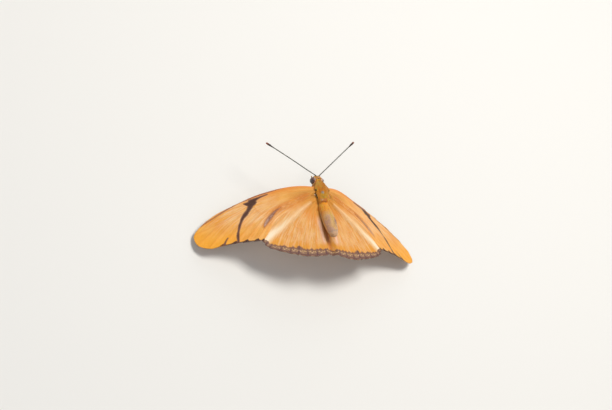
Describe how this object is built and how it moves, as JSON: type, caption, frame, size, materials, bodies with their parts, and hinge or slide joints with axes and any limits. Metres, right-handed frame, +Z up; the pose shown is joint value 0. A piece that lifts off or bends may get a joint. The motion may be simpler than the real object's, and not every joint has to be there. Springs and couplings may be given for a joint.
{
  "type": "julia butterfly",
  "caption": "Still, life-size orange butterfly standing on its legs, its long narrow wings spread and drooping, its clubbed feelers forward and its tongue rolled up.",
  "frame": {"origin": "on the floor, under the middle of the outer box, which is just behind the wing roots", "axes": "+X towards the butterfly's left wing tip, +Y towards its tail, so that it faces -Y, +Z up"},
  "size_m": [0.0836, 0.0408, 0.019],
  "materials": {
    "thorax": "dense short hair and scales, golden orange, matt",
    "head": "short scales, orange with cream and brown spots, matt",
    "eye": "smooth and glossy, dark brown, finely faceted",
    "abdomen": "fine scales, orange-gold in front, mauve-grey behind",
    "antenna": "near black, scaled, the club brown",
    "palp": "pale brown scales",
    "proboscis": "dark brown, ringed",
    "wing": "warm orange scales with dark brown bars, silky sheen",
    "leg": "pale brown scales, dark claws"
  },
  "bodies": {
    "root": {"thorax": "thorax", "head": "head", "abdomen": "abdomen", "eye_left": "eye", "eye_right": "eye", "antenna_left": "antenna", "antenna_right": "antenna", "palp_left": "palp", "palp_right": "palp", "proboscis": "proboscis", "forewing_left": "wing", "forewing_right": "wing", "hindwing_left": "wing", "hindwing_right": "wing", "foreleg_left": "leg", "foreleg_right": "leg", "midleg_left": "leg", "midleg_right": "leg", "hindleg_left": "leg", "hindleg_right": "leg"}
  },
  "joints": []
}
